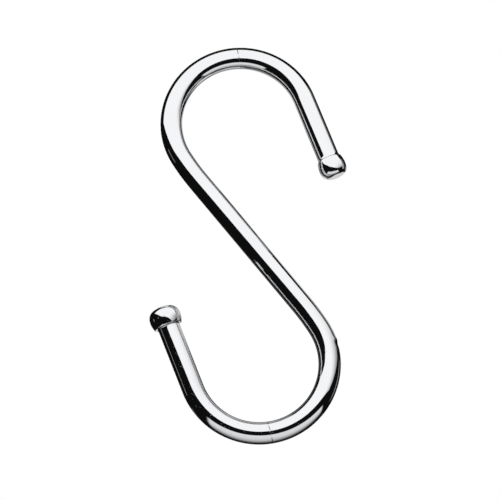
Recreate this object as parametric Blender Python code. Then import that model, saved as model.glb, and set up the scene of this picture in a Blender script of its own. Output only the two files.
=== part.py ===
"""Chrome-plated S-hook: one bent steel rod with a blunt cap pressed on each end.

Metres, +Z up. The hook hangs in the XZ plane. The origin is the rail seat, the inside top of the upper
bend, and the load seat, the inside bottom of the lower bend, is straight below it. The rod is the same
after half a turn about the Y direction through its centre, so its upper half is modelled once. The lower cap
is a little fatter than the upper one.
"""
import math

import bmesh
import bpy
from mathutils import Matrix, Vector

MM = 0.001

# Driving dimensions of the rod, along its centreline from the middle of the hook to one end.
ROD_DIAMETER = 5.4 * MM
STRAIGHT_LENGTH = 39.7 * MM             # the slanting run between the two bends
EASE_RADIUS = 60.0 * MM                 # the straight run eases into each bend
EASE_SWEEP = math.radians(7.0)
BEND_RADIUS = 17.0 * MM
BEND_SWEEP = math.radians(190.6)
LEG_LENGTH = 16.6 * MM                  # from the end of a bend to its cap

# Driving dimensions of the caps, and of the turned-down rod ends that they are pressed on.
UPPER_CAP_DIAMETER = 6.8 * MM
UPPER_RIM_DIAMETER = 6.1 * MM           # the flat face that looks back along the rod
LOWER_CAP_DIAMETER = 7.7 * MM
LOWER_RIM_DIAMETER = 6.8 * MM
CAP_HEIGHT = 4.8 * MM
CAP_WIDEST_AT = 1.9 * MM                # height of the largest diameter over that flat face
CAP_TIP_DIAMETER = 2.0 * MM             # the small flat on the blunt tip
CAP_DOME_FULLNESS = 2.6                 # superellipse power: 2 is an ellipse, more is fuller
SPIGOT_DIAMETER = 3.6 * MM
SPIGOT_LENGTH = 2.8 * MM
FIT_GAP = 0.3 * MM                      # kept between the rod and a cap

# Facets.
ROD_SIDES = 24
BEND_STEPS = 36
EASE_STEPS = 2
CAP_SIDES = 32
SHOULDER_STEPS = 4
DOME_STEPS = 8

CHROME_COLOR = (0.80, 0.81, 0.83, 1.0)
ROD_ROUGHNESS = 0.05
CAP_ROUGHNESS = 0.07
SMOOTH_BELOW = math.radians(35.0)
WELD_DISTANCE = 0.001 * MM

Y_AXIS = Vector((0.0, 1.0, 0.0))


def turned(vector, angle):
    """The vector after a turn about Y; a positive angle turns +Z towards +X."""
    return Matrix.Rotation(angle, 3, Y_AXIS) @ vector


def upper_bend_centre(run_direction):
    """Centre of the upper bend, seen from the middle of the hook, when the straight run leaves along this."""
    side = turned(run_direction, math.pi / 2)
    ease_centre = run_direction * STRAIGHT_LENGTH / 2 + side * EASE_RADIUS
    return ease_centre - turned(side, EASE_SWEEP) * (EASE_RADIUS - BEND_RADIUS)


def hanging_direction():
    """Direction of the straight run that puts both bend centres on one plumb line."""
    centre = upper_bend_centre(Vector((0.0, 0.0, 1.0)))
    return turned(Vector((0.0, 0.0, 1.0)), -math.atan2(centre.x, centre.z))


RUN_DIRECTION = hanging_direction()
BEND_CENTRE = upper_bend_centre(RUN_DIRECTION)
RAIL_SEAT_HEIGHT = BEND_CENTRE.z + BEND_RADIUS - ROD_DIAMETER / 2
LEG_DIRECTION = turned(RUN_DIRECTION, EASE_SWEEP + BEND_SWEEP)
LEG_START = BEND_CENTRE - turned(LEG_DIRECTION, math.pi / 2) * BEND_RADIUS
CAP_SEAT = LEG_START + LEG_DIRECTION * LEG_LENGTH


def chrome(name, roughness):
    material = bpy.data.materials.new(name)
    material.use_nodes = True
    shader = material.node_tree.nodes["Principled BSDF"]
    shader.inputs["Base Color"].default_value = CHROME_COLOR
    shader.inputs["Metallic"].default_value = 1.0
    shader.inputs["Roughness"].default_value = roughness
    return material


def new_object(name, bm, material, parent):
    """A smooth-shaded object with outward faces, placed under its parent."""
    bmesh.ops.remove_doubles(bm, verts=bm.verts, dist=WELD_DISTANCE)
    bmesh.ops.recalc_face_normals(bm, faces=bm.faces)
    mesh = bpy.data.meshes.new(name)
    bm.to_mesh(mesh)
    bm.free()
    mesh.materials.append(material)
    mesh.shade_smooth()
    mesh.set_sharp_from_angle(angle=SMOOTH_BELOW)
    piece = bpy.data.objects.new(name, mesh)
    piece.parent = parent
    bpy.context.collection.objects.link(piece)
    return piece


# ---------------------------------------------------------------------------------------------- the rod

def extruded(bm, ring, offset):
    """Extrude a ring of edges by a straight offset and return the new ring."""
    new = bmesh.ops.extrude_edge_only(bm, edges=ring)["geom"]
    bmesh.ops.translate(bm, verts=[item for item in new if isinstance(item, bmesh.types.BMVert)], vec=offset)
    return [item for item in new if isinstance(item, bmesh.types.BMEdge)]


def bent(bm, ring, centre, sweep, steps):
    """Carry a ring of edges round a centre in the XZ plane and return the last ring."""
    spun = bmesh.ops.spin(bm, geom=ring, cent=centre, axis=Y_AXIS, angle=sweep, steps=steps)
    return [item for item in spun["geom_last"] if isinstance(item, bmesh.types.BMEdge)]


def narrowed(bm, ring, centre, factor):
    """Step a ring of edges inwards, as the shoulder of a turned-down end, and return the smaller ring."""
    ring = extruded(bm, ring, Vector((0.0, 0.0, 0.0)))
    verts = {vert for edge in ring for vert in edge.verts}
    about_centre = Matrix.Translation(-centre)
    bmesh.ops.scale(bm, verts=list(verts), vec=(factor, factor, factor), space=about_centre)
    return ring


def build_rod(parent):
    """Upper half from the middle of the hook out to the spigot, then the same half turned round."""
    bm = bmesh.new()
    across = Matrix.Rotation(math.atan2(RUN_DIRECTION.x, RUN_DIRECTION.z), 4, Y_AXIS)
    circle = bmesh.ops.create_circle(bm, segments=ROD_SIDES, radius=ROD_DIAMETER / 2, matrix=across)
    ring = list({edge for vert in circle["verts"] for edge in vert.link_edges})

    side = turned(RUN_DIRECTION, math.pi / 2)
    ring = extruded(bm, ring, RUN_DIRECTION * STRAIGHT_LENGTH / 2)
    ease_centre = RUN_DIRECTION * STRAIGHT_LENGTH / 2 + side * EASE_RADIUS
    ring = bent(bm, ring, ease_centre, EASE_SWEEP, EASE_STEPS)
    ring = bent(bm, ring, BEND_CENTRE, BEND_SWEEP, BEND_STEPS)
    shoulder = CAP_SEAT - LEG_DIRECTION * FIT_GAP
    ring = extruded(bm, ring, shoulder - LEG_START)
    ring = narrowed(bm, ring, shoulder, SPIGOT_DIAMETER / ROD_DIAMETER)
    ring = extruded(bm, ring, LEG_DIRECTION * SPIGOT_LENGTH)
    bmesh.ops.contextual_create(bm, geom=ring)

    half = list(bm.verts) + list(bm.edges) + list(bm.faces)
    copy = bmesh.ops.duplicate(bm, geom=half)["geom"]
    half_turn = Matrix.Rotation(math.pi, 3, Y_AXIS)
    copied_verts = [item for item in copy if isinstance(item, bmesh.types.BMVert)]
    bmesh.ops.rotate(bm, verts=copied_verts, cent=(0.0, 0.0, 0.0), matrix=half_turn)
    return new_object("hook_rod", bm, chrome("rod_chrome", ROD_ROUGHNESS), parent)


# ---------------------------------------------------------------------------------------------- the caps

def cap_profile(diameter, rim_diameter):
    """Half outline of a cap as (radius, height): bore floor, bore, flat face, shoulder, dome, tip."""
    bore_radius = SPIGOT_DIAMETER / 2 + FIT_GAP
    rim, widest = rim_diameter / 2, diameter / 2
    points = [(0.0, SPIGOT_LENGTH), (bore_radius, SPIGOT_LENGTH), (bore_radius, 0.0)]
    for step in range(SHOULDER_STEPS):
        below = 1 - step / SHOULDER_STEPS
        points.append((widest - (widest - rim) * below ** 2, CAP_WIDEST_AT * (1 - below)))
    tip = CAP_TIP_DIAMETER / 2
    power = 2 / CAP_DOME_FULLNESS
    for step in range(DOME_STEPS + 1):
        angle = step / DOME_STEPS * math.pi / 2
        across = max(math.cos(angle), 0.0) ** power
        along = math.sin(angle) ** power
        points.append((tip + (widest - tip) * across, CAP_WIDEST_AT + (CAP_HEIGHT - CAP_WIDEST_AT) * along))
    points.append((0.0, CAP_HEIGHT))
    return points


def build_cap(name, diameter, rim_diameter, material, parent):
    """A turned cap, standing on its own flat face with its dome along +Z."""
    bm = bmesh.new()
    outline = [bm.verts.new((radius, 0.0, height)) for radius, height in cap_profile(diameter, rim_diameter)]
    edges = [bm.edges.new(pair) for pair in zip(outline, outline[1:])]
    bmesh.ops.spin(bm, geom=outline + edges, axis=(0.0, 0.0, 1.0), angle=math.tau, steps=CAP_SIDES,
                   use_merge=True)
    return new_object(name, bm, material, parent)


def build_caps(parent):
    """Each cap stands on the end of its leg."""
    tilt = math.atan2(LEG_DIRECTION.x, LEG_DIRECTION.z)
    plate = chrome("cap_chrome", CAP_ROUGHNESS)
    upper = build_cap("upper_end_cap", UPPER_CAP_DIAMETER, UPPER_RIM_DIAMETER, plate, parent)
    upper.location = CAP_SEAT
    upper.rotation_euler = (0.0, tilt, 0.0)
    lower = build_cap("lower_end_cap", LOWER_CAP_DIAMETER, LOWER_RIM_DIAMETER, plate, parent)
    lower.location = -CAP_SEAT
    lower.rotation_euler = (0.0, tilt + math.pi, 0.0)


def main():
    for old in list(bpy.data.objects):
        bpy.data.objects.remove(old)
    middle = bpy.data.objects.new("hook_middle", None)
    middle.location = (0.0, 0.0, -RAIL_SEAT_HEIGHT)
    bpy.context.collection.objects.link(middle)
    build_rod(middle)
    build_caps(middle)


main()
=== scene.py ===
"""The looks of a chrome-plated S-hook: a bent rod with a blunt cap on each end, in a plain soft studio.

Metres, +Z up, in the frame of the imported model. The hook hangs in the XZ plane from its rail seat at the
origin. The rod and both caps are made again here at a finer grain than the CAD solids that they stand for,
from the same driving dimensions. Only the curve of the caps' shoulders is a little flatter here.
"""
import math

import bmesh
import bpy
from mathutils import Matrix, Vector


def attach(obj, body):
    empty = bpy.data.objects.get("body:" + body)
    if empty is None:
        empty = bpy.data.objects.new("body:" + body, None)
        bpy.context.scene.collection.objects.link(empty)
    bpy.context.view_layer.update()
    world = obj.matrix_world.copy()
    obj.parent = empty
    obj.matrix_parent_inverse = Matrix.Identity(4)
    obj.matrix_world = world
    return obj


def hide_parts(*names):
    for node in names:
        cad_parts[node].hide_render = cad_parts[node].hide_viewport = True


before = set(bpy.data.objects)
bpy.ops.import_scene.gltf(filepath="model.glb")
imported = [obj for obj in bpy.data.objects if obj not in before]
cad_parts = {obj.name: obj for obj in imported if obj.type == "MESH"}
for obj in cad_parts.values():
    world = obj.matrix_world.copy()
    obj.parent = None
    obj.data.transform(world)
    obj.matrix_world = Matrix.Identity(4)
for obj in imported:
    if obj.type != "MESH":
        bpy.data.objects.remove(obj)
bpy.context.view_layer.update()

MM = 0.001

# Driving dimensions, those of the CAD part. The rod's run along its centreline, from the middle of the hook.
ROD_DIAMETER = 5.4 * MM
STRAIGHT_LENGTH = 39.7 * MM
EASE_RADIUS = 60.0 * MM
EASE_SWEEP = math.radians(7.0)
BEND_RADIUS = 17.0 * MM
BEND_SWEEP = math.radians(190.6)
LEG_LENGTH = 16.6 * MM
UPPER_CAP_DIAMETER, UPPER_RIM_DIAMETER = 6.8 * MM, 6.1 * MM
LOWER_CAP_DIAMETER, LOWER_RIM_DIAMETER = 7.7 * MM, 6.8 * MM
CAP_HEIGHT = 4.8 * MM
CAP_WIDEST_AT = 1.9 * MM
CAP_TIP_DIAMETER = 2.0 * MM
CAP_DOME_FULLNESS = 2.6
SPIGOT_DIAMETER = 3.6 * MM
SPIGOT_LENGTH = 2.8 * MM

# What only the looks need of the caps.
BORE_DIAMETER = 3.7 * MM                # closer on the spigot than the gap that the CAD keeps
BORE_CLEARANCE = 0.1 * MM               # between the spigot's end and the floor of the bore
LIP_CHAMFER = 0.06 * MM                 # of the flat face's sharp edge
SHOULDER_POWER = 1.5                    # 1 is a straight cone; more is rounder towards the widest place

# Mesh detail.
ROD_SIDES = 96
STATION_SPACING = 0.4 * MM
BEND_STEP = math.radians(0.75)
CAP_SIDES = 128
FLARE_STEPS = 8
SHOULDER_STEPS, DOME_STEPS = 16, 40
SHARP_ABOVE = math.radians(30.0)

# Small marks of making, which the CAD solids leave out.
SEAM = 0.05 * MM                        # the hairline between the rod's shoulder and a cap
SEAM_CHAMFER = 0.08 * MM
UPPER_FLARE, LOWER_FLARE = (0.75 * MM, 0.14 * MM), (0.25 * MM, 0.10 * MM)  # length and rise at the ends
RING_MARKS = ((62.9 * MM, 0.45 * MM), (-60.75 * MM, 0.25 * MM))            # along the rod, and skew
RING_HALF_WIDTH, RING_DEPTH = 0.09 * MM, 0.028 * MM
# Across a ring mark, as (place in half widths, share of its depth).
RING_PROFILE = ((-1.6, 0.0), (-1.0, 0.0), (-0.4, 0.85), (0.0, 1.0), (0.4, 0.85), (1.0, 0.0), (1.6, 0.0))
# The nick that the bending tool left, where the straight run enters the lower bend.
NICK_ALONG, NICK_ANGLE = -31.9 * MM, math.radians(-17.0)
NICK_LENGTH, NICK_WIDTH, NICK_DEPTH = 0.55 * MM, math.radians(16.0), 0.13 * MM

# The plate. PLATE_RELIEF is the height of its broad unevenness, and the other two are multiples of that.
CLEAN_CHROME, HAZY_CHROME = (0.815, 0.82, 0.835), (0.79, 0.80, 0.82)
# The dark of the painted shade along the seams, where a cap meets the rod, and of the darker lines in the
# rod's ring marks.
PIT_COLOR, SEAM_SHADE_AND_MARK_COLOR = (0.62, 0.62, 0.62), (0.10, 0.095, 0.09)
PLATE_RELIEF, LINE_RELIEF, PIT_RELIEF = 0.004 * MM, 0.12, 4.5

Y_AXIS = Vector((0.0, 1.0, 0.0))

# The camera looks up at the hook from in front and below.
CAMERA_DISTANCE = 631.2 * MM
CAMERA_BELOW = math.radians(15.33)
HOOK_LEAN = math.radians(38.93)         # of the slanting run, in the picture
CAMERA_LENS, SENSOR_WIDTH = 186.4, 36.0    # in millimetres, as Blender has them
HOOK_RIGHT, HOOK_UP = -0.117 * MM, 1.872 * MM     # of the hook's middle from the camera's axis
CLIP_START, CLIP_END = 0.02, 20.0

# The studio.
RIBBON_HALF_WIDTH, RIBBON_BEHIND = 3.4 * MM, 4.6 * MM    # RIBBON_BEHIND is from the rod's centreline
ROOM_SIZE, FLOOR_SIZE, FLOOR_HEIGHT = 6.0, 3.0, -0.40
MIRRORED_WHITE = 1 / 0.81               # strength of a card that shows as full white in the chrome
DARK_STRENGTH = 0.005


def turned(vector, angle):
    """The vector after a turn about Y; a positive angle turns +Z towards +X."""
    return Matrix.Rotation(angle, 3, Y_AXIS) @ vector


def upper_bend_centre(run_direction):
    """Centre of the upper bend, seen from the middle of the hook, when the straight run leaves along this."""
    side = turned(run_direction, math.pi / 2)
    ease_centre = run_direction * STRAIGHT_LENGTH / 2 + side * EASE_RADIUS
    return ease_centre - turned(side, EASE_SWEEP) * (EASE_RADIUS - BEND_RADIUS)


def hanging_direction():
    """Direction of the straight run that puts both bend centres on one plumb line."""
    centre = upper_bend_centre(Vector((0.0, 0.0, 1.0)))
    return turned(Vector((0.0, 0.0, 1.0)), -math.atan2(centre.x, centre.z))


RUN_DIRECTION = hanging_direction()
BEND_CENTRE = upper_bend_centre(RUN_DIRECTION)
MIDDLE = Vector((0.0, 0.0, -(BEND_CENTRE.z + BEND_RADIUS - ROD_DIAMETER / 2)))
LEG_DIRECTION = turned(RUN_DIRECTION, EASE_SWEEP + BEND_SWEEP)
LEG_START = BEND_CENTRE - turned(LEG_DIRECTION, math.pi / 2) * BEND_RADIUS
CAP_SEAT = LEG_START + LEG_DIRECTION * LEG_LENGTH


# ------------------------------------------------------------------------------------------- node helpers

def new_material(name):
    material = bpy.data.materials.new(name)
    material.use_nodes = True
    return material, material.node_tree.nodes, material.node_tree.links


class Weave:
    """Small helpers that add nodes to one material and return their output sockets."""

    def __init__(self, name):
        self.material, self.nodes, self.links = new_material(name)
        self.place = self.nodes.new("ShaderNodeAttribute")
        self.place.attribute_name = "straight_place"

    def math(self, operation, first, second=None, third=None, clamp=False):
        node = self.nodes.new("ShaderNodeMath")
        node.operation = operation
        node.use_clamp = clamp
        for socket, value in zip(node.inputs, (first, second, third)):
            if isinstance(value, (int, float)):
                socket.default_value = value
            elif value is not None:
                self.links.new(value, socket)
        return node.outputs[0]

    def noise(self, stretch, detail, offset=0.0):
        """Noise over the straightened piece; stretch is features per millimetre across, across and along."""
        scaled = self.nodes.new("ShaderNodeMapping")
        scaled.inputs["Scale"].default_value = stretch
        scaled.inputs["Location"].default_value = (offset, offset, offset)
        self.links.new(self.place.outputs["Vector"], scaled.inputs["Vector"])
        node = self.nodes.new("ShaderNodeTexNoise")
        node.inputs["Scale"].default_value = 1.0
        node.inputs["Detail"].default_value = detail
        self.links.new(scaled.outputs[0], node.inputs["Vector"])
        return node.outputs["Fac"]

    def remapped(self, value, low, high, to_low, to_high, smooth=False):
        node = self.nodes.new("ShaderNodeMapRange")
        node.interpolation_type = "SMOOTHSTEP" if smooth else "LINEAR"
        for name, number in (("From Min", low), ("From Max", high), ("To Min", to_low), ("To Max", to_high)):
            node.inputs[name].default_value = number
        self.links.new(value, node.inputs["Value"])
        return node.outputs[0]

    def along(self):
        """Distance along the straightened piece, in millimetres."""
        split = self.nodes.new("ShaderNodeSeparateXYZ")
        self.links.new(self.place.outputs["Vector"], split.inputs[0])
        return split.outputs["Z"]

    def band(self, along, centre, half_width):
        """1 at a place along the piece, falling to 0 at half_width from it, in millimetres."""
        away = self.math("ABSOLUTE", self.math("SUBTRACT", along, centre))
        return self.remapped(away, half_width * 0.35, half_width, 1.0, 0.0, smooth=True)

    def mixed(self, factor, first, second):
        node = self.nodes.new("ShaderNodeMix")
        node.data_type = "RGBA"
        self.links.new(factor, node.inputs["Factor"])
        for socket, value in ((node.inputs[6], first), (node.inputs[7], second)):
            if isinstance(value, tuple):
                socket.default_value = (*value, 1.0)
            else:
                self.links.new(value, socket)
        return node.outputs[2]


def chrome_plate(name, polish_stretch, marks, finish, pitted):
    """Bright chrome plate: faint polishing lines, handling haze, pits, and dark, dull lines at the marks,
    which are painted shade where a mark is a seam.

    polish_stretch is the stretch of the polishing lines. marks holds (place, half width, darkness) for each
    dark line, finish the plate's lowest and highest roughness, and pitted the places where the pits begin
    and where all of them are there. Places and widths are in millimetres along the straightened piece.
    """
    weave = Weave(name)
    haze = weave.noise((0.22, 0.22, 0.10), 3.0)
    lines = weave.noise(polish_stretch, 2.0, offset=3.0)
    peel = weave.noise((0.9, 0.9, 0.6), 1.0, offset=7.0)
    pits = weave.remapped(weave.noise((3.3, 3.3, 3.3), 1.0, offset=11.0), 0.735, 0.79, 0.0, 1.0)

    along = weave.along()
    pits = weave.math("MULTIPLY", pits, weave.remapped(along, *pitted, 0.1, 1.0))
    # The dark lines: painted shade at a seam, and a plain darker line in a ring mark.
    seam_shade_and_marks = None
    for centre, half_width, darkness in marks:
        line = weave.math("MULTIPLY", weave.band(along, centre, half_width), darkness)
        seam_shade_and_marks = line if seam_shade_and_marks is None else weave.math("MAXIMUM", seam_shade_and_marks, line)
    patches = weave.noise((0.8, 0.8, 0.1), 1.0, offset=23.0)
    seam_shade_and_marks = weave.math("MULTIPLY", seam_shade_and_marks, weave.remapped(patches, 0.40, 0.54, 0.1, 1.0, smooth=True))

    plate = weave.mixed(weave.remapped(haze, 0.3, 0.7, 0.0, 1.0), CLEAN_CHROME, HAZY_CHROME)
    plate = weave.mixed(weave.math("MULTIPLY", pits, 0.5), plate, PIT_COLOR)
    # Paint the dark lines into the colour: painted shade along the seams, and darker lines in the ring marks.
    plate = weave.mixed(seam_shade_and_marks, plate, SEAM_SHADE_AND_MARK_COLOR)

    low, high = finish
    roughness = weave.remapped(haze, 0.35, 0.75, low, high)
    roughness = weave.math("MULTIPLY_ADD", weave.remapped(lines, 0.45, 0.75, 0.0, 1.0), 0.025, roughness)
    roughness = weave.math("MULTIPLY_ADD", pits, 0.16, roughness)
    roughness = weave.math("MULTIPLY_ADD", seam_shade_and_marks, 0.35, roughness, clamp=True)

    height = weave.math("MULTIPLY_ADD", lines, LINE_RELIEF, peel)
    height = weave.math("SUBTRACT", height, weave.math("MULTIPLY", pits, PIT_RELIEF))
    bump = weave.nodes.new("ShaderNodeBump")
    bump.inputs["Strength"].default_value = 1.0
    bump.inputs["Distance"].default_value = PLATE_RELIEF
    weave.links.new(height, bump.inputs["Height"])

    shader = weave.nodes["Principled BSDF"]
    shader.inputs["Metallic"].default_value = 1.0
    weave.links.new(plate, shader.inputs["Base Color"])
    weave.links.new(roughness, shader.inputs["Roughness"])
    weave.links.new(bump.outputs[0], shader.inputs["Normal"])
    return weave.material


def rod_plate():
    """Drawn and polished lengthwise, with darker lines in both ring marks and painted shade at both seams."""
    seam = half_centreline()[-1][2] / MM
    marks = [(along / MM, 0.15, 0.85) for along, _ in RING_MARKS]
    # Painted shade at both seams, where the caps meet the rod.
    marks += [(seam, 0.10, 0.55), (-seam, 0.10, 0.55)]
    return chrome_plate("rod_chrome_plate", (6.5, 6.5, 0.12), marks, (0.02, 0.055), (-48.0, -62.0))


def cap_plate():
    """Polished round and round in a lathe, with painted shade along the flat face that meets the rod."""
    # Painted shade along the flat face, where the cap meets the rod.
    marks = [(0.0, 0.09, 0.6)]
    return chrome_plate("cap_chrome_plate", (0.25, 0.25, 8.0), marks, (0.03, 0.075), (-1.0, 1.0))


# ---------------------------------------------------------------------------------------------- the rod

def half_centreline():
    """Stations from the middle of the hook to the shoulder: (position, direction, distance along)."""
    side = turned(RUN_DIRECTION, math.pi / 2)
    stations = []
    travelled = 0.0

    def straight(start, direction, length):
        nonlocal travelled
        steps = max(1, round(length / STATION_SPACING))
        for step in range(steps):
            along = length * step / steps
            stations.append((start + direction * along, direction, travelled + along))
        travelled += length
        return start + direction * length

    def curve(centre, start, direction, sweep, radius):
        nonlocal travelled
        steps = max(1, round(sweep / BEND_STEP))
        for step in range(steps):
            angle = sweep * step / steps
            stations.append((centre + turned(start - centre, angle), turned(direction, angle),
                             travelled + radius * angle))
        travelled += radius * sweep

    end = straight(Vector((0.0, 0.0, 0.0)), RUN_DIRECTION, STRAIGHT_LENGTH / 2)
    curve(end + side * EASE_RADIUS, end, RUN_DIRECTION, EASE_SWEEP, EASE_RADIUS)
    eased = turned(RUN_DIRECTION, EASE_SWEEP)
    bend_start = BEND_CENTRE - turned(eased, math.pi / 2) * BEND_RADIUS
    curve(BEND_CENTRE, bend_start, eased, BEND_SWEEP, BEND_RADIUS)
    shoulder = straight(LEG_START, LEG_DIRECTION, LEG_LENGTH - SEAM)
    stations.append((shoulder, LEG_DIRECTION, travelled))
    return stations


def ring_mark_rings(half, sign):
    """(place, direction, along, radius, skew) of the half's rings, with the fine groove of its ring mark."""
    radius = ROD_DIAMETER / 2
    mark, skew = next((abs(along), skew) for along, skew in RING_MARKS if along * sign > 0)
    rings = [(place, direction, along, radius, 0.0) for place, direction, along in half]
    clear = STATION_SPACING + skew
    before = [ring for ring in rings if ring[2] < mark - clear]
    after = [ring for ring in rings if ring[2] > mark + clear]
    last_place, last_direction, last_along = before[-1][:3]
    groove = []
    for offset, depth in RING_PROFILE:
        along = mark + offset * RING_HALF_WIDTH
        turn = (along - last_along) / BEND_RADIUS
        place = BEND_CENTRE + turned(last_place - BEND_CENTRE, turn)
        groove.append((place, turned(last_direction, turn), along, radius - depth * RING_DEPTH, skew))
    return before + groove + after


def rod_rings():
    """(place, direction, distance along, radius, skew) for every ring of the rod, from end to end."""
    def finished(half, flare):
        """The half with its flared end, chamfered shoulder and spigot."""
        shoulder, direction, length, radius, _ = half[-1]
        reach, rise = flare
        half = [ring for ring in half if ring[2] < length - reach - STATION_SPACING / 2]
        for step in range(FLARE_STEPS + 1):
            share = step / FLARE_STEPS
            back = SEAM_CHAMFER + (reach - SEAM_CHAMFER) * (1 - share)
            wide = radius + rise * share ** 2
            half.append((shoulder - direction * back, direction, length - back, wide, 0.0))
        half.append((shoulder, direction, length, radius + rise - SEAM_CHAMFER, 0.0))
        half.append((shoulder, direction, length + radius / 2, SPIGOT_DIAMETER / 2, 0.0))
        half.append((shoulder + direction * SPIGOT_LENGTH, direction, length + radius / 2 + SPIGOT_LENGTH,
                     SPIGOT_DIAMETER / 2, 0.0))
        return half

    half = half_centreline()
    upper = finished(ring_mark_rings(half, 1), UPPER_FLARE)
    lower = finished(ring_mark_rings(half, -1), LOWER_FLARE)
    turned_round = [(-place, direction, -along, wide, skew)
                    for place, direction, along, wide, skew in reversed(lower[1:])]
    return turned_round + upper


def nick_depth(along, angle):
    """How far the nick presses the surface in, or raises it as the lip beside it, at a place on the rod.

    It is nothing anywhere else, so the caps, whose places along are above zero, are left alone.
    """
    off_along = (along - NICK_ALONG) / NICK_LENGTH
    off_angle = math.remainder(angle - NICK_ANGLE, math.tau) / NICK_WIDTH
    return -NICK_DEPTH * off_along * math.exp((1 - off_along ** 2 - off_angle ** 2) / 2)


def lofted(bm, rings, sides):
    """Skin rings of (place, side vector, forward vector, along, radius, skew) and record each vertex's place.

    The straight_place attribute holds that place, in millimetres, on the same piece straightened out.
    """
    straight = bm.verts.layers.float_vector.new("straight_place")
    made = []
    for place, side, forward, along, radius, skew in rings:
        ring = []
        other = forward.cross(side)
        for step in range(sides):
            angle = math.tau * step / sides
            across = radius - nick_depth(along, angle)
            offset = skew * math.cos(angle)
            vert = bm.verts.new(place + (side * math.cos(angle) + other * math.sin(angle)) * across
                                + forward * offset)
            vert[straight] = Vector((radius * math.cos(angle), radius * math.sin(angle), along)) / MM
            ring.append(vert)
        made.append(ring)
    for ring, following in zip(made, made[1:]):
        for step in range(sides):
            after = (step + 1) % sides
            bm.faces.new((ring[step], ring[after], following[after], following[step]))
    for ring in (made[0], made[-1]):
        bm.faces.new(ring)
    bmesh.ops.recalc_face_normals(bm, faces=bm.faces)


def build_rod(material):
    bm = bmesh.new()
    rings = [(place, turned(direction, math.pi / 2), direction, along, radius, skew)
             for place, direction, along, radius, skew in rod_rings()]
    lofted(bm, rings, ROD_SIDES)
    new_piece("chrome_rod", bm, material, "hook_rod")


# ---------------------------------------------------------------------------------------------- the caps

def cap_profile(diameter, rim_diameter):
    """Half outline of a cap as (radius, height): bore, flat face, chamfer, shoulder, dome, tip."""
    rim, widest, tip = rim_diameter / 2, diameter / 2, CAP_TIP_DIAMETER / 2
    bore = BORE_DIAMETER / 2
    points = [(bore, SPIGOT_LENGTH + BORE_CLEARANCE), (bore, 0.0)]
    for step in range(SHOULDER_STEPS + 1):
        below = 1 - step / SHOULDER_STEPS
        points.append((widest - (widest - rim) * below ** SHOULDER_POWER, CAP_WIDEST_AT * (1 - below)))
    points[2:3] = [(rim - LIP_CHAMFER, 0.0), (rim, LIP_CHAMFER)]
    power = 2 / CAP_DOME_FULLNESS
    for step in range(1, DOME_STEPS + 1):
        angle = step / DOME_STEPS * math.pi / 2
        across = max(math.cos(angle), 0.0) ** power
        along = math.sin(angle) ** power
        points.append((tip + (widest - tip) * across, CAP_WIDEST_AT + (CAP_HEIGHT - CAP_WIDEST_AT) * along))
    return points


def build_cap(name, node, material, seat, direction, diameter, rim_diameter):
    """A turned cap with its flat face at the seat and its dome along the direction."""
    bm = bmesh.new()
    side = turned(direction, math.pi / 2)
    rings = [(seat + direction * height, side, direction, height, radius, 0.0)
             for radius, height in cap_profile(diameter, rim_diameter)]
    lofted(bm, rings, CAP_SIDES)
    new_piece(name, bm, material, node)


def new_piece(name, bm, material, node):
    """A smooth-shaded piece, made about the hook's middle, that stands for one node of the CAD model."""
    mesh = bpy.data.meshes.new(name)
    bm.transform(Matrix.Translation(MIDDLE))
    bm.to_mesh(mesh)
    bm.free()
    mesh.materials.append(material)
    mesh.shade_smooth()
    mesh.set_sharp_from_angle(angle=SHARP_ABOVE)
    piece = bpy.data.objects.new(name, mesh)
    bpy.context.collection.objects.link(piece)
    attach(piece, "root")
    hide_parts(node)


# ---------------------------------------------------------------------------------------------- the studio

PICTURE_ROLL = HOOK_LEAN - math.atan2(-RUN_DIRECTION.x, RUN_DIRECTION.z)


def picture_frame():
    """Frame at the hook's middle: X to the picture's right, Y up the hook's plane, Z towards the front."""
    right = Vector((math.cos(PICTURE_ROLL), 0.0, -math.sin(PICTURE_ROLL)))
    up = Vector((math.sin(PICTURE_ROLL), 0.0, math.cos(PICTURE_ROLL)))
    return Matrix.Translation(MIDDLE) @ Matrix((right, up, -Y_AXIS)).transposed().to_4x4()


PICTURE = picture_frame()


def add_camera():
    data = bpy.data.cameras.new("camera")
    data.sensor_width = SENSOR_WIDTH
    data.lens = CAMERA_LENS
    data.clip_start, data.clip_end = CLIP_START, CLIP_END
    camera = bpy.data.objects.new("camera", data)
    view = Matrix.Rotation(CAMERA_BELOW, 4, "X")
    camera.matrix_world = PICTURE @ view @ Matrix.Translation((-HOOK_RIGHT, -HOOK_UP, CAMERA_DISTANCE))
    bpy.context.collection.objects.link(camera)
    bpy.context.scene.camera = camera


def mirrored_only(name, mesh, matrix):
    """A stage piece that the camera doesn't see and that casts no shadow, but that reflections show."""
    thing = bpy.data.objects.new(name, mesh)
    thing.matrix_world = matrix
    bpy.context.collection.objects.link(thing)
    thing.visible_camera = False
    thing.visible_shadow = False
    return thing


def stage_card(name, corners, material):
    """A flat card whose corners are given in millimetres in the picture frame."""
    mesh = bpy.data.meshes.new(name)
    mesh.from_pydata([Vector(corner) * MM for corner in corners], [], [tuple(range(len(corners)))])
    mesh.materials.append(material)
    mirrored_only(name, mesh, PICTURE)


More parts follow.
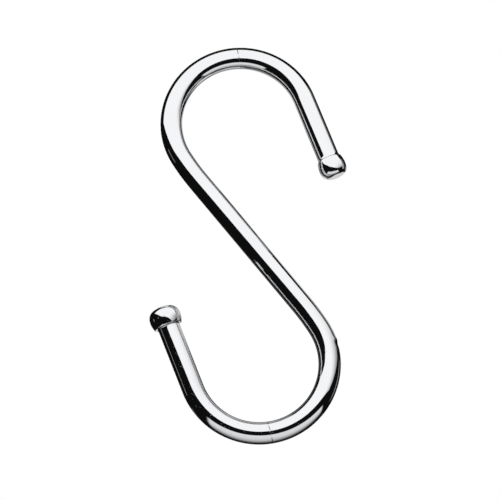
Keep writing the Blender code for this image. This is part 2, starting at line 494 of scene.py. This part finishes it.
def glowing(name, strength, fade_axis=None, fade=(), edges=()):
    """A glow whose strength follows (place in mm, share) pairs along one axis, and fades out at soft edges.

    Each edge is (axis, place where it is dark, place where it is full), in millimetres.
    """
    material, nodes, links = new_material(name)
    nodes.clear()
    output = nodes.new("ShaderNodeOutputMaterial")
    emission = nodes.new("ShaderNodeEmission")
    emission.inputs["Strength"].default_value = strength
    links.new(emission.outputs[0], output.inputs["Surface"])
    if not fade and not edges:
        return material
    split = nodes.new("ShaderNodeSeparateXYZ")
    links.new(nodes.new("ShaderNodeTexCoord").outputs["Object"], split.inputs[0])
    result = None

    def multiplied(factor):
        nonlocal result
        if result is not None:
            product = nodes.new("ShaderNodeMath")
            product.operation = "MULTIPLY"
            links.new(result, product.inputs[0])
            links.new(factor, product.inputs[1])
            factor = product.outputs[0]
        result = factor

    if fade:
        low, high = fade[0][0], fade[-1][0]
        place = nodes.new("ShaderNodeMapRange")
        place.inputs["From Min"].default_value = low * MM
        place.inputs["From Max"].default_value = high * MM
        ramp = nodes.new("ShaderNodeValToRGB")
        while len(ramp.color_ramp.elements) < len(fade):
            ramp.color_ramp.elements.new(0.5)
        for stop, (at, share) in zip(ramp.color_ramp.elements, fade):
            stop.position = (at - low) / (high - low)
            stop.color = (share, share, share, 1.0)
        links.new(split.outputs[fade_axis], place.inputs["Value"])
        links.new(place.outputs[0], ramp.inputs["Fac"])
        multiplied(ramp.outputs[0])
    for axis, dark, full in edges:
        edge = nodes.new("ShaderNodeMapRange")
        edge.interpolation_type = "SMOOTHSTEP"
        edge.inputs["From Min"].default_value = dark * MM
        edge.inputs["From Max"].default_value = full * MM
        links.new(split.outputs[axis], edge.inputs["Value"])
        multiplied(edge.outputs[0])
    scaled = nodes.new("ShaderNodeMath")
    scaled.operation = "MULTIPLY"
    scaled.inputs[1].default_value = strength
    links.new(result, scaled.inputs[0])
    links.new(scaled.outputs[0], emission.inputs["Strength"])
    return material


def matt(name, shade):
    material, nodes, _ = new_material(name)
    shader = nodes["Principled BSDF"]
    shader.inputs["Base Color"].default_value = (shade, shade, shade, 1.0)
    shader.inputs["Roughness"].default_value = 0.9
    return material


def build_back_ribbon():
    """A white ribbon that follows the rod close behind it, so that its back mirrors light too."""
    half = [(place, direction) for place, direction, _ in half_centreline()][::2]
    half.append((CAP_SEAT + LEG_DIRECTION * CAP_HEIGHT, LEG_DIRECTION))
    path = [(-place, direction) for place, direction in reversed(half[1:])] + half
    corners = []
    for place, direction in path:
        side = turned(direction, math.pi / 2) * RIBBON_HALF_WIDTH
        behind = place + Y_AXIS * RIBBON_BEHIND
        corners.append((behind - side, behind + side))
    mesh = bpy.data.meshes.new("back_ribbon")
    verts = [corner for pair in corners for corner in pair]
    mesh.from_pydata(verts, [], [(i, i + 1, i + 3, i + 2) for i in range(0, len(verts) - 2, 2)])
    mesh.materials.append(glowing("ribbon_white", 1.1))
    mirrored_only("back_ribbon", mesh, Matrix.Translation(MIDDLE))


def add_large_cards():
    """A softbox over the hook and in front of it, a fill card under it, and a strip far to its left."""
    stage_card("overhead_softbox", [(-210, 19, 249), (262, -62, 249), (400, 88, 2), (-247, 97, 6)],
               glowing("softbox_white", 0.91 * MIRRORED_WHITE, "X",
                       [(-247, 1.0), (70, 1.0), (100, 0.95), (130, 0.88), (156, 0.80), (185, 0.69),
                        (215, 0.58), (260, 0.45), (330, 0.3), (400, 0.2)]))
    stage_card("fill_card", [(-99, -103.9, 97), (180, -103.9, 97), (180, -136, -76), (-99, -136, -76)],
               glowing("fill_white", MIRRORED_WHITE, "Z",
                       [(-69, 0.02), (-37, 0.12), (0, 0.45), (31, 0.66), (91, 0.72)],
                       [("X", -99, -83), ("X", 180, 152), ("Z", 97, 85)]))
    stage_card("side_strip", [(-900, -250, -90), (-900, -60, -90), (-900, -60, -20), (-900, -250, -20)],
               glowing("strip_white", 0.3 * MIRRORED_WHITE))


def add_back_cards():
    """Cards close behind the hook, which its rims mirror."""
    stage_card("back_card", [(-26, -46, -30), (24, -46, -30), (24, 46, -30), (-26, 46, -30)],
               glowing("back_white", 0.55 * MIRRORED_WHITE, "Y",
                       [(-46, 0.1), (-10, 0.1), (4, 0.2), (20, 0.32), (34, 0.7), (46, 1.0)]))
    stage_card("right_back_card", [(37, -12, -29), (51, 0, -29), (16, 45, -29), (2, 33, -29)],
               glowing("back_white_right", 0.6 * MIRRORED_WHITE,
                       edges=[("X", 8, 14), ("Y", -16, -7), ("Y", 34, 24)]))
    stage_card("tip_back_card", [(-8, -12, -29.5), (8, -12, -29.5), (14, 0, -29.5), (34, 0, -29.5),
                                 (34, 17, -29.5), (-8, 17, -29.5)],
               glowing("back_white_tip", 0.55 * MIRRORED_WHITE, edges=[("X", -8, -1), ("Y", -12, -4)]))
    stage_card("cap_back_card", [(32, 18, -29), (60, 18, -29), (60, 34, -29), (32, 34, -29)],
               glowing("back_white_cap", 0.25 * MIRRORED_WHITE, edges=[("X", 32, 36), ("Y", 34, 28)]))


def add_side_glows():
    """Glows for the rod's right side and for both caps, and a flag that keeps the lower cap's off the rod."""
    stage_card("right_glow", [(500, 120, 0), (500, 560, 0), (500, 560, -260), (500, 120, -260)],
               glowing("glow_soft", 0.3 * MIRRORED_WHITE, "Z",
                       [(-260, 0.1), (-150, 0.35), (-60, 0.8), (0, 1.0)],
                       [("Y", 120, 260), ("Y", 560, 440)]))
    stage_card("cap_glow", [(80, 10, 2), (80, 44, 2), (80, 44, -24), (80, 10, -24)],
               glowing("glow_near", 0.6 * MIRRORED_WHITE, "Z", [(-24, 0.0), (-12, 0.3), (2, 1.0)]))
    stage_card("right_streak", [(50, -52, -12.7), (50, 0, -12.7), (50, 0, -9.3), (50, -52, -9.3)],
               glowing("streak_white", 0.45 * MIRRORED_WHITE, edges=[("Y", -52, -42), ("Y", -18, -29)]))
    stage_card("low_cap_glow", [(-28, -5, -1), (-19, -5, -1), (-19, -5, -9), (-28, -5, -9)],
               glowing("glow_low", 0.75 * MIRRORED_WHITE, edges=[("X", -28, -23)]))
    stage_card("low_cap_flag", [(-18, -11, 1), (-18, 2, 1), (-18, 2, -12), (-18, -11, -12)],
               glowing("flag_dark", DARK_STRENGTH))


def add_walls():
    """Dim walls that close the space behind the hook above and below."""
    stage_card("upper_wall", [(-26, 46, -30), (26, 46, -30), (26, 46, -8), (-26, 46, -8)],
               glowing("upper_wall_grey", 0.08 * MIRRORED_WHITE))
    stage_card("lower_wall", [(-26, -46, -30), (26, -46, -30), (26, -46, -8), (-26, -46, -8)],
               glowing("lower_wall_grey", 0.12 * MIRRORED_WHITE))


def add_dark_room():
    """A dark room round everything, which the chrome mirrors between the cards."""
    mesh = bpy.data.meshes.new("dark_room")
    bm = bmesh.new()
    bmesh.ops.create_cube(bm, size=ROOM_SIZE)
    bm.to_mesh(mesh)
    bm.free()
    mesh.materials.append(glowing("room_dark", DARK_STRENGTH))
    room = mirrored_only("dark_room", mesh, PICTURE)
    room.visible_diffuse = False


def add_floor():
    """A plain pale floor, which the chrome doesn't mirror."""
    floor = bpy.data.objects.new("floor", bpy.data.meshes.new("floor"))
    bm = bmesh.new()
    bmesh.ops.create_grid(bm, size=FLOOR_SIZE, matrix=Matrix.Translation((0.0, 0.0, FLOOR_HEIGHT)))
    bm.to_mesh(floor.data)
    bm.free()
    floor.data.materials.append(matt("floor_pale", 0.8))
    bpy.context.collection.objects.link(floor)
    floor.visible_glossy = False


def build_studio():
    """The cards are placed for what the hook mirrors in the camera's own view of it."""
    add_large_cards()
    add_back_cards()
    add_side_glows()
    add_walls()
    add_dark_room()
    add_floor()


def set_world():
    world = bpy.data.worlds.new("pale_surround")
    bpy.context.scene.world = world
    world.use_nodes = True
    world.node_tree.nodes["Background"].inputs["Color"].default_value = (1.0, 1.0, 1.0, 1.0)
    world.node_tree.nodes["Background"].inputs["Strength"].default_value = 1.0


def main():
    build_back_ribbon()
    cap_material = cap_plate()
    build_rod(rod_plate())
    build_cap("upper_cap", "upper_end_cap", cap_material, CAP_SEAT, LEG_DIRECTION,
              UPPER_CAP_DIAMETER, UPPER_RIM_DIAMETER)
    build_cap("lower_cap", "lower_end_cap", cap_material, -CAP_SEAT, -LEG_DIRECTION,
              LOWER_CAP_DIAMETER, LOWER_RIM_DIAMETER)
    add_camera()
    set_world()
    build_studio()
    bpy.context.scene.view_settings.view_transform = "Standard"


main()
